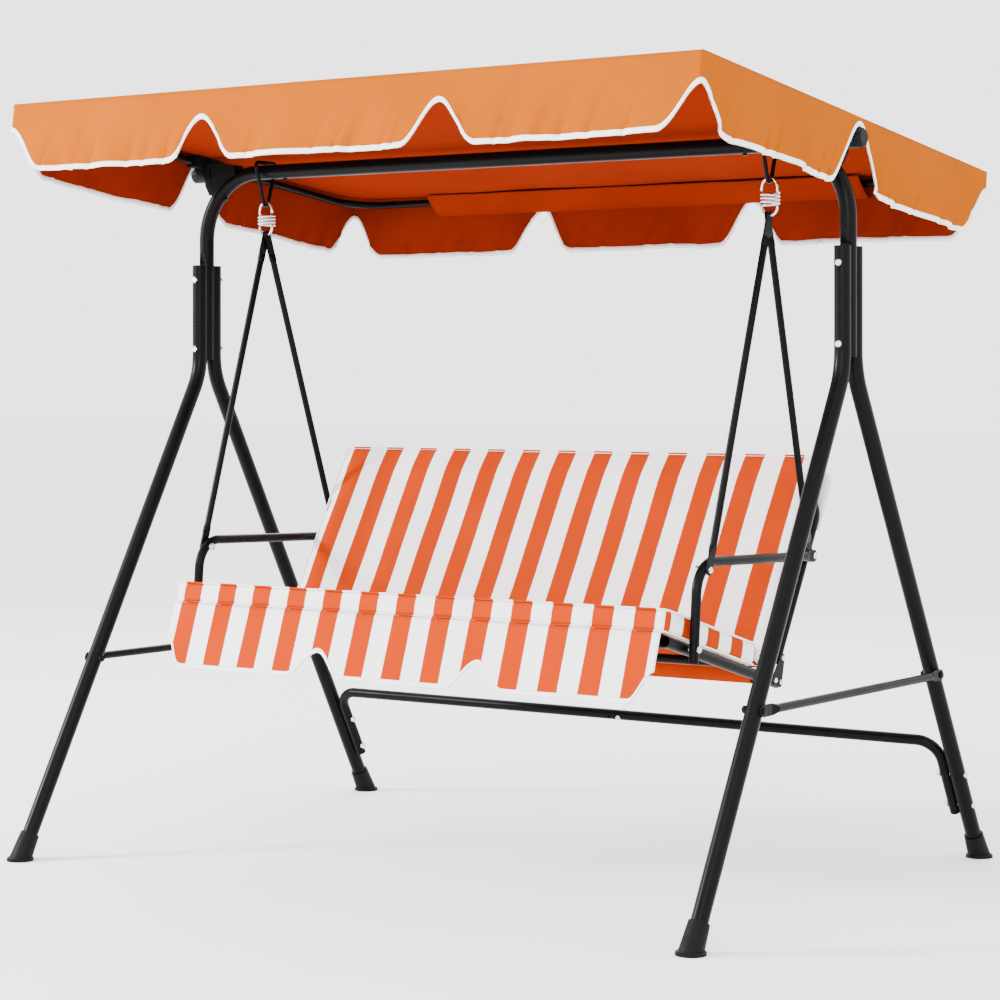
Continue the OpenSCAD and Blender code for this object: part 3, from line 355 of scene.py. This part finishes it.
def hang(vert, share, low):
    """Moves a copy of an edge point down to its share of the valance, in soft waves."""
    x, y = vert.co.x, vert.co.y
    depth = valance_depth(x, y)
    down = (depth - BRAID) * share + BRAID * low
    run = x if abs(y) > TOP_HALF.y - ON_EDGE else y + 3
    wave = noise.noise((run * 4.2, y * 0.7, 1.3)) * 0.9 + noise.noise((run * 15, 0.4, y)) * 0.6
    lean = run * 19 + 9 * down
    pleat = max(0, 1 - abs(noise.noise((lean, 2.7, y))) * 6) ** 2
    loose = max(0, down - SEWN) / (VALANCE - SEWN)
    drift = (0.024 * wave - 0.010 * pleat) * loose
    return Vector((x, y, -down)) + outward(x, y) * drift


def woven(name, colour, thread, depth, sheen=0.01, turn=(0, 0, 0)):
    """Matt cloth of plain weave: crossed threads and shallow creases."""
    material = new_material(name, colour, 0.9, shine=0)
    shader = material.node_tree.nodes["Principled BSDF"]
    shader.inputs["Sheen Weight"].default_value = sheen
    shader.inputs["Sheen Roughness"].default_value = 0.5
    place = object_place(material, turn=turn)
    threads = []
    for direction in ("X", "Y", "Z"):
        wave = add(material, "TexWave", bands_direction=direction, Scale=thread, Distortion=0.6, Detail=1)
        join(material, place, wave, "Vector")
        threads.append(wave.outputs["Fac"])
    weave = threads[0]
    for other in threads[1:]:
        both = add(material, "Math", operation="ADD")
        join(material, weave, both, 0)
        join(material, other, both, 1)
        weave = both.outputs[0]
    creases = add(material, "TexNoise", Scale=16, Detail=5, Roughness=0.55)
    join(material, object_place(material), creases, "Vector")
    small = add(material, "Math", operation="MULTIPLY")
    small.inputs[1].default_value = 0.06
    join(material, weave, small, 0)
    height = add(material, "Math", operation="ADD")
    join(material, small.outputs[0], height, 0)
    join(material, creases.outputs["Fac"], height, 1)
    fine_bump(material, height.outputs[0], 0.35, depth)
    return material


def dyed(material, colour, source, scale, spread):
    """Lets a cloth's colour drift by a small share of its lightness over slow patches."""
    drift = add(material, "TexNoise", Scale=scale, Detail=3)
    join(material, object_place(material), drift, "Vector")
    light = add(material, "MapRange", From_Min=0.3, From_Max=0.7, To_Min=1 - spread, To_Max=1 + spread)
    join(material, drift.outputs["Fac"], light, "Value")
    tint = add(material, "HueSaturation")
    if source is None:
        tint.inputs["Color"].default_value = (*colour, 1)
    else:
        join(material, source, tint, "Color")
    join(material, light.outputs["Result"], tint, "Value")
    join(material, tint.outputs["Color"], None, "Base Color")


ORANGE_CANVAS = (0.35, 0.078, 0.0001)
# Painted shade: the underside colour is the same canvas darkened for the shade under the canopy.
UNDERSIDE_PAINTED_SHADE = (0.20, 0.013, 0.0002)
BRAID_WHITE = (0.94, 0.94, 0.93)
canopy_cloth = woven("orange_canvas", ORANGE_CANVAS, 260, 0.0030, turn=(TILT, 0, 0))
dyed(canopy_cloth, ORANGE_CANVAS, None, 5, 0.06)
canopy_underside_painted_shade = woven("canvas_underside_painted_shade", UNDERSIDE_PAINTED_SHADE, 260, 0.0012, turn=(TILT, 0, 0))
dyed(canopy_underside_painted_shade, UNDERSIDE_PAINTED_SHADE, None, 5, 0.08)
braid_cloth = woven("white_braid", BRAID_WHITE, 420, 0.0006)
dyed(braid_cloth, BRAID_WHITE, None, 7, 0.04)

bm = bmesh.new()
bmesh.ops.create_grid(bm, x_segments=200, y_segments=140, size=1)
bmesh.ops.scale(bm, vec=(TOP_HALF.x, TOP_HALF.y, 1), verts=bm.verts)
edge = [e for e in bm.edges if e.is_boundary]
rows = [(k / 12, 0) for k in range(1, 13)] + [(1, 0.5), (1, 1)]
places = {v: v.co.copy() for e in edge for v in e.verts}
hem_points = set()
for share, low in rows:
    grown = bmesh.ops.extrude_edge_only(bm, edges=edge)["geom"]
    fresh = only(bmesh.types.BMVert, grown)
    nearest = {}
    for vert in fresh:
        key = next(other for e in vert.link_edges for other in [e.other_vert(vert)] if other in places)
        nearest[vert] = places[key]
    for vert in fresh:
        vert.co = nearest[vert]
        vert.co = hang(vert, share, low)
    places = nearest
    if share == 1:
        hem_points.update(fresh)
    edge = [e for e in only(bmesh.types.BMEdge, grown) if e.is_boundary]
for vert in bm.verts:
    if vert.co.z > -1e-6:
        inside_x = 1 - (vert.co.x / TOP_HALF.x) ** 2
        inside_y = 1 - (vert.co.y / TOP_HALF.y) ** 2
        dip = 0.010 * inside_x ** 0.7 * inside_y ** 0.7
        crease = 0.0025 * noise.noise((vert.co.x * 6, vert.co.y * 6, 0.5)) * min(1, 6 * inside_x * inside_y)
        vert.co.z = crease - dip
bmesh.ops.transform(bm, matrix=canopy_place, verts=bm.verts)


def copy_of_faces(bm, points):
    """A new bmesh of only the faces whose corners are all among points."""
    bm.faces.index_update()
    kept = {f.index for f in bm.faces if all(v in points for v in f.verts)}
    made = bm.copy()
    made.faces.index_update()
    bmesh.ops.delete(made, geom=[f for f in made.faces if f.index not in kept], context="FACES")
    return made


braid_bm = copy_of_faces(bm, hem_points)


def thickened(piece, thickness, offset):
    wall = piece.modifiers.new("cloth_thickness", "SOLIDIFY")
    wall.thickness = thickness
    wall.offset = offset
    return piece


canopy = thickened(finished("canopy", bm, [canopy_cloth, canopy_underside_painted_shade]), 0.0012, -1)
# The inner shell takes the darker copy of the canvas, as painted shade.
canopy.modifiers[0].material_offset = 1
canopy_braid = thickened(finished("canopy_braid", braid_bm, [braid_cloth]), 0.0036, 0)
for piece in (canopy, canopy_braid):
    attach(piece, "canopy")
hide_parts("canopy_fabric")


# Canopy pockets: two long strips of the same canvas, in its darker painted-shade copy, sewn under the
# top along one edge and to the valance along the other, so that each one carries a tube inside it.
POCKET_HALF = 0.556
POCKET_SAG = radians(24)
POCKET_HEM = 0.004


def line_across(bm, half, cuts, start):
    """Edges along x through start, half to each side, ready to sweep."""
    made = bmesh.ops.create_grid(bm, x_segments=1, y_segments=cuts, size=half)["verts"]
    bmesh.ops.delete(bm, geom=[v for v in made if v.co.x > 0], context="VERTS")
    line = [v for v in made if v.is_valid]
    for vert in line:
        vert.co = Vector((vert.co.y, start.y, start.z))
    return list({e for v in line for e in v.link_edges})


pocket_bm = bmesh.new()
for end in (-1, 1):
    seam = Vector((0, end * (TOP_HALF.y - 0.068), -0.0082))
    low = Vector((0, end * (TOP_HALF.y - 0.013), -SEWN))
    bow = low - seam
    curve = (bow.length - 2 * POCKET_HEM) / 2 / sin(POCKET_SAG / 2)
    moves = [POCKET_HEM, (end * POCKET_SAG, curve, (1, 0, 0), 0), POCKET_HEM,
             (end * radians(60), POCKET_HEM, (1, 0, 0), 0), 0.006]
    heading = Matrix.Rotation(-end * POCKET_SAG / 2, 3, "X") @ bow.normalized()
    sweep(pocket_bm, line_across(pocket_bm, POCKET_HALF, 90, seam), seam, heading, moves, radians(6))
for vert in pocket_bm.verts:
    vert.co.z += 0.0016 * noise.noise((vert.co.x * 9, vert.co.y * 20, 2))
bmesh.ops.transform(pocket_bm, matrix=canopy_place, verts=pocket_bm.verts)
# The strips take the canvas's darker copy, painted shade for their place under the canopy.
pockets = thickened(finished("canopy_pocket_strips", pocket_bm, [canopy_underside_painted_shade]), 0.0012, 0)
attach(pockets, "canopy")
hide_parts("canopy_pockets")


# Hangers and armrests: 14 and 19 mm tube with ends pressed flat and drilled, bolted to the
# bench frame. They have the same coat, worn a little glossier on the armrests by hands.
arm_coat = powder_coat("handled_black_coat", COAT_BLACK, 0.24, 0.38)
hangers = [f"hanger_{end}_{side}" for end in ("front", "rear") for side in SIDES]
finish_nodes(hangers, frame_coat)
finish_nodes([f"arm_{side}" for side in SIDES], arm_coat)


# Seat and back frame: 22 mm tubes with cross tubes notched and welded between them, and a
# flat corner plate bolted outside each rear corner.
bench_tubes = ["seat_front_tube", "seat_mid_tube", "seat_rear_tube", "back_lower_tube", "corner_plates"]
bench_tubes += [f"{piece}_{side}" for piece in ("seat_side", "back_tube") for side in SIDES]
finish_nodes(bench_tubes, frame_coat)


# Seat and back slings: bands of orange cloth under the cushions. Each is wrapped round its
# first and last cross tube and sewn to itself, which leaves a sleeve along both edges.
SEAT_TILT = radians(15.2)
BACK_LEAN = radians(30.4)
SLING_HALF = 0.560
SLEEVE = 0.0118
WRAP = radians(35)
BACK_SLING_RISE = 0.344
seat_low, seat_high = map(Vector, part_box("seat_cushion"))
seat_thick = 0.047
seat_place = (Matrix.Translation((0, seat_low.y + seat_thick * sin(SEAT_TILT), seat_high.z))
              @ Matrix.Rotation(-SEAT_TILT, 4, "X"))
back_low, back_high = map(Vector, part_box("back_cushion"))
back_thick = 0.062
back_tail = 0.030
back_corner = Vector((0, back_low.y, back_low.z + back_thick * sin(BACK_LEAN)))
# The back's own directions: x along the bench, y up the back, z out of its face towards the sitter
back_place = (Matrix.Translation(back_corner) @ Matrix.Rotation(pi / 2 - BACK_LEAN, 4, "X")
              @ Matrix.Translation((0, back_tail, 0)))


def tube_in(place, name):
    """Centre of a cross tube, in the directions of place."""
    low, high = map(Vector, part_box(name))
    middle = (low + high) / 2
    return place.inverted() @ Vector((0, middle.y, middle.z))


def sling(name, first, last, place):
    """A band from round one tube, straight over to another and round it, open side down."""
    tail = (SLEEVE * cos(WRAP) + SLEEVE - 0.001) / sin(WRAP)
    start = first + Vector((0, SLEEVE * sin(WRAP) + tail * cos(WRAP), -SLEEVE * cos(WRAP) + tail * sin(WRAP)))
    over = last.y - first.y
    wrap = (-(pi + WRAP), SLEEVE, (1, 0, 0), 0)
    moves = [tail, wrap] + [over / 24] * 24 + [wrap, tail]
    bm = bmesh.new()
    sweep(bm, line_across(bm, SLING_HALF, 80, start), start, (0, -cos(WRAP), -sin(WRAP)), moves)
    for vert in bm.verts:
        share = (vert.co.y - first.y) / over
        if 0 < share < 1 and vert.co.z > first.z + SLEEVE * 0.9:
            vert.co.z -= 0.0015 + 0.004 * sin(pi * share) * (1 - (vert.co.x / SLING_HALF) ** 4)
    bmesh.ops.transform(bm, matrix=place, verts=bm.verts)
    return thickened(finished(name, bm, [sling_cloth]), 0.001, 0)


SLING_ORANGE = (0.32, 0.026, 0.0004)
sling_cloth = woven("sling_canvas", SLING_ORANGE, 240, 0.001)
dyed(sling_cloth, SLING_ORANGE, None, 6, 0.08)
seat_tubes = [tube_in(seat_place, name) for name in ("seat_front_tube", "seat_rear_tube")]
seat_sling = sling("seat_sling_band", *seat_tubes, seat_place)
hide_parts("seat_sling")
lower = tube_in(back_place, "back_lower_tube")
back_sling = sling("back_sling_band", lower, lower + Vector((0, BACK_SLING_RISE, 0)), back_place)
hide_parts("back_sling")
for piece, length in ((seat_sling, 0.55), (back_sling, 0.53)):
    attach(piece, "bench")


# Cushions: covers of orange and white striped cloth over slabs of foam. Each cover is two
# panels and a band, sewn with piping in both seams that is white at the ends and striped
# between them. The stripes turn to run up and down on the ends' bands.
STRIPE = 0.0455
PIPING = 0.0019
STRIPE_ORANGE = (0.39, 0.032, 0.0004)
STRIPE_WHITE = (0.88, 0.87, 0.86)
PIPING_WHITE = (0.88, 0.87, 0.85)
FILLING_STEPS = 14


def striped(name, across, offset, turn=(0, 0, 0)):
    """Cloth printed in even stripes, counted along one object axis after a turn."""
    material = woven(name, STRIPE_ORANGE, 330, 0.0010, turn=turn)
    place = object_place(material, turn=turn)
    parts = add(material, "SeparateXYZ")
    join(material, place, parts, "Vector")
    shift = add(material, "Math", operation="ADD")
    shift.inputs[1].default_value = offset
    join(material, parts.outputs[across], shift, 0)
    bounce = add(material, "Math", operation="PINGPONG")
    bounce.inputs[1].default_value = STRIPE
    join(material, shift.outputs[0], bounce, 0)
    bleed = add(material, "TexNoise", Scale=260, Detail=1)
    join(material, place, bleed, "Vector")
    soft = add(material, "MapRange", From_Min=0.2, From_Max=0.8, To_Min=-0.0005, To_Max=0.0005)
    join(material, bleed.outputs["Fac"], soft, "Value")
    edge_at = add(material, "Math", operation="ADD")
    join(material, bounce.outputs[0], edge_at, 0)
    join(material, soft.outputs["Result"], edge_at, 1)
    white = add(material, "MapRange", From_Min=STRIPE / 2 - 0.0006, From_Max=STRIPE / 2 + 0.0006)
    join(material, edge_at.outputs[0], white, "Value")
    mix = add(material, "Mix", data_type="RGBA")
    join(material, white.outputs["Result"], mix, 0)
    mix.inputs[6].default_value = (*STRIPE_ORANGE, 1)
    mix.inputs[7].default_value = (*STRIPE_WHITE, 1)
    dyed(material, None, mix.outputs[2], 9, 0.05)
    return material


stripe_cloth = striped("striped_cloth", "X", 0)
seat_band_cloth = striped("striped_seat_band", "Y", 0.369, (SEAT_TILT, 0, 0))
back_band_cloth = striped("striped_back_band", "Y", 0.05, (-(pi / 2 - BACK_LEAN), 0, 0))
piping_cloth = woven("white_piping", PIPING_WHITE, 500, 0.0004)
dyed(piping_cloth, PIPING_WHITE, None, 7, 0.12)


def foam_block(low, high, mesh_step):
    """A closed box in even squares, as the sewn cover before it is filled."""
    bm = bmesh.new()
    bmesh.ops.create_cube(bm, size=1)
    size = high - low
    bmesh.ops.scale(bm, vec=size, verts=bm.verts)
    bmesh.ops.translate(bm, vec=(low + high) / 2, verts=bm.verts)
    for axis in range(3):
        along = [e for e in bm.edges if abs((e.verts[0].co - e.verts[1].co)[axis]) > size[axis] * 0.9]
        bmesh.ops.subdivide_edges(bm, edges=along, cuts=max(2, round(size[axis] / mesh_step)) - 1,
                                  use_grid_fill=True)
    return bm


def on_seam(point, low, high, reach=0.001):
    """True where two faces of the box meet."""
    return sum(point[a] < low[a] + reach or point[a] > high[a] - reach for a in range(3)) > 1


def inflate(piece, low, high, held_down, limit):
    """Fills the cover: cloth under pressure, held at its seams and where it lies on the sling."""
    pinned = piece.vertex_groups.new(name="sewn")
    base = [v.co.copy() for v in piece.data.vertices]
    pinned.add([i for i, p in enumerate(base) if on_seam(p, low, high) or held_down(p)], 1, "REPLACE")
    cloth = piece.modifiers.new("filling", "CLOTH")
    cloth.settings.quality = 4
    cloth.settings.mass = 0.25
    cloth.settings.tension_stiffness = 12
    cloth.settings.compression_stiffness = 12
    cloth.settings.bending_stiffness = 0.6
    cloth.settings.use_pressure = True
    cloth.settings.uniform_pressure_force = 4
    cloth.settings.effector_weights.gravity = 0
    cloth.settings.vertex_group_mass = "sewn"
    cloth.collision_settings.use_collision = False
    cloth.point_cache.frame_start = 1
    cloth.point_cache.frame_end = FILLING_STEPS
    scene = bpy.context.scene
    for step in range(1, FILLING_STEPS + 1):
        scene.frame_set(step)
    swollen = piece.evaluated_get(bpy.context.evaluated_depsgraph_get()).data
    moved = [v.co - p for v, p in zip(swollen.vertices, base)]
    piece.modifiers.remove(cloth)
    scene.frame_set(1)
    for vert, start, shift in zip(piece.data.vertices, base, moved):
        vert.co = start + shift * min(1, limit / max(shift.length, 1e-9))


def piped_seam(bm, low, high, level, corner=0.010):
    """A closed loop of piping round the box at one level of z."""
    wide, deep = high.x - low.x - 2 * corner, high.y - low.y - 2 * corner
    quarter = (radians(90), corner, (0, 0, 1), 0)
    start = (low.x + corner, low.y, level)
    first = rod_ring(bm, start, (1, 0, 0), PIPING, 8)
    moves = []
    for length in (wide, deep, wide, deep):
        cuts = max(1, round(length / 0.03))
        moves += [length / cuts] * cuts + [quarter]
    sweep(bm, first, start, (1, 0, 0), moves, radians(22))


def cushion(name, low, high, slope, side_cloth, held_down, limit):
    """A filled cover with its piping, placed in the slope of the seat or back."""
    piece = finished(name, foam_block(low, high, 0.013), [stripe_cloth, side_cloth])
    inflate(piece, low, high, held_down, limit)
    for vert in piece.data.vertices:
        place = vert.co
        vert.co.z += 0.0022 * noise.noise((place.x * 7, place.y * 9, 3)) * (0 if held_down(place) else 1)
    for polygon in piece.data.polygons:
        polygon.material_index = 1 if abs(polygon.normal.x) > 0.65 else 0
    piece.data.transform(slope)
    soften = piece.modifiers.new("soft_cover", "SUBSURF")
    soften.levels = soften.render_levels = 1
    bm = bmesh.new()
    for level in (low.z, high.z):
        piped_seam(bm, low, high, level)
    for face in bm.faces:
        if abs(face.calc_center_median().x) < high.x - 0.012:
            face.material_index = 1
    bmesh.ops.transform(bm, matrix=slope, verts=bm.verts)
    piping = finished(name + "_piping", bm, [piping_cloth, stripe_cloth])
    for part in (piece, piping):
        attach(part, "bench")
    return piece


seat_half = seat_high.x - 0.002
seat_depth = 0.365
seat_cushion = cushion(
    "seat_pad", Vector((-seat_half, 0.004, -seat_thick + 0.003)),
    Vector((seat_half, seat_depth - 0.014, -0.004)), seat_place, seat_band_cloth,
    lambda p: p.z < -seat_thick + 0.005, 0.008)
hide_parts("seat_cushion")
back_half = back_high.x - 0.002
back_rise = 0.424
back_cushion = cushion(
    "back_pad", Vector((-back_half, -back_tail + 0.006, -back_thick + 0.006)),
    Vector((back_half, back_rise - 0.006, -0.006)), back_place, back_band_cloth,
    lambda p: p.z < -back_thick + 0.008, 0.008)
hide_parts("back_cushion")


# Seat skirt: a single layer of the striped cloth, sewn into the seat cushion's lower front
# seam. It falls in three scallops with a white binding folded over its hem.
SKIRT_DROP = 0.136
SKIRT_NOTCHES = (-0.190, 0.196)
SKIRT_BINDING = 0.009
SKIRT_ROWS = 14
BINDING_ROWS = 2
skirt_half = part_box("seat_skirt")[1][0]


def skirt_depth(x):
    ends = [(end * skirt_half, SKIRT_DROP - 0.062, 0.046) for end in (-1, 1)]
    return hem_depth(x, SKIRT_DROP, [(p, 0.084, 0.068) for p in SKIRT_NOTCHES] + ends)


bm = bmesh.new()
bmesh.ops.create_grid(bm, x_segments=180, y_segments=SKIRT_ROWS, size=1)
binding_points = set()
panel_rows = SKIRT_ROWS - BINDING_ROWS
for vert in bm.verts:
    x = vert.co.x * skirt_half
    row = round((1 - vert.co.y) * SKIRT_ROWS / 2)
    panel = (skirt_depth(x) - SKIRT_BINDING) * min(1, row / panel_rows)
    down = panel + SKIRT_BINDING * max(0, row - panel_rows) / BINDING_ROWS
    if row >= panel_rows:
        binding_points.add(vert)
    wave = 0.006 * (down / SKIRT_DROP) ** 1.4 * noise.noise((x * 6, 0.2, 7))
    vert.co = (x, 0.001 - wave, -down)
bmesh.ops.rotate(bm, verts=bm.verts, cent=(0, 0, 0), matrix=Matrix.Rotation(-radians(4), 3, "X"))
bmesh.ops.translate(bm, vec=(0, 0, -seat_thick), verts=bm.verts)
bmesh.ops.transform(bm, matrix=seat_place, verts=bm.verts)
binding_bm = copy_of_faces(bm, binding_points)
skirt = thickened(finished("skirt_panel", bm, [stripe_cloth]), 0.0012, 0)
binding = thickened(finished("skirt_binding", binding_bm, [braid_cloth]), 0.0034, 0)
for piece in (skirt, binding):
    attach(piece, "bench")
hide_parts("seat_skirt")


# Back pocket: a strip of white cloth sewn to the top of the back cushion. It is pulled down
# over the top of the back frame, so that the cushion hangs from it.
POCKET_DEPTH = 0.102
POCKET_SEAM = 0.008
POCKET_BULGE = 0.0175
POCKET_WHITE = (0.90, 0.89, 0.88)
pocket_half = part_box("back_pocket")[1][0]
start = Vector((0, back_rise - 0.030, -back_thick - 0.001))
moves = [POCKET_SEAM, (-pi, POCKET_BULGE, (1, 0, 0), 0)] + [POCKET_DEPTH / 12] * 12
bm = bmesh.new()
sweep(bm, line_across(bm, pocket_half, 120, start), start, (0, 1, 0), moves, radians(12))
for vert in bm.verts:
    down = max(0, start.y - vert.co.y)
    vert.co.z += 0.003 * noise.noise((vert.co.x * 8, vert.co.y * 12, 5)) * min(1, down / 0.03)
bmesh.ops.transform(bm, matrix=back_place, verts=bm.verts)
pocket_cloth = woven("white_pocket_cloth", POCKET_WHITE, 330, 0.001)
dyed(pocket_cloth, POCKET_WHITE, None, 7, 0.05)
pocket = thickened(finished("back_pocket_flap", bm, [pocket_cloth]), 0.002, 0)
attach(pocket, "bench")
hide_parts("back_pocket")


# Floor and light: a wide pale floor, a bright even surround, and three soft lamps. None of
# them belongs to the bench, so the floor is staged.
bm = bmesh.new()
bmesh.ops.create_grid(bm, x_segments=1, y_segments=1, size=40)
floor_paint = new_material("pale_floor", (0.93, 0.93, 0.93), 0.9)
floor_mesh = bpy.data.meshes.new("floor")
bm.to_mesh(floor_mesh)
bm.free()
floor_mesh.materials.append(floor_paint)
floor = bpy.data.objects.new("floor", floor_mesh)
floor.location = (0, 0, -0.0005)
bpy.context.scene.collection.objects.link(floor)

world = bpy.data.worlds.new("surround")
world.use_nodes = True
world.node_tree.nodes["Background"].inputs["Color"].default_value = (1, 1, 1, 1)
world.node_tree.nodes["Background"].inputs["Strength"].default_value = 3.0
bpy.context.scene.world = world


def soft_lamp(name, place, target, size, power):
    lamp = bpy.data.lights.new(name, "AREA")
    lamp.size = size
    lamp.energy = power
    holder = bpy.data.objects.new(name, lamp)
    holder.location = place
    holder.rotation_euler = (Vector(target) - Vector(place)).to_track_quat("-Z", "Y").to_euler()
    bpy.context.scene.collection.objects.link(holder)


soft_lamp("key_lamp", (-4.2, -3.2, 2.6), (0, 0, 0.9), 1.0, 560)
soft_lamp("fill_lamp", (2.5, -4.5, 2.4), (0, 0, 0.8), 2.0, 120)
soft_lamp("back_lamp", (-2.5, 4.0, 3.0), (0, 0, 0.9), 2.0, 80)
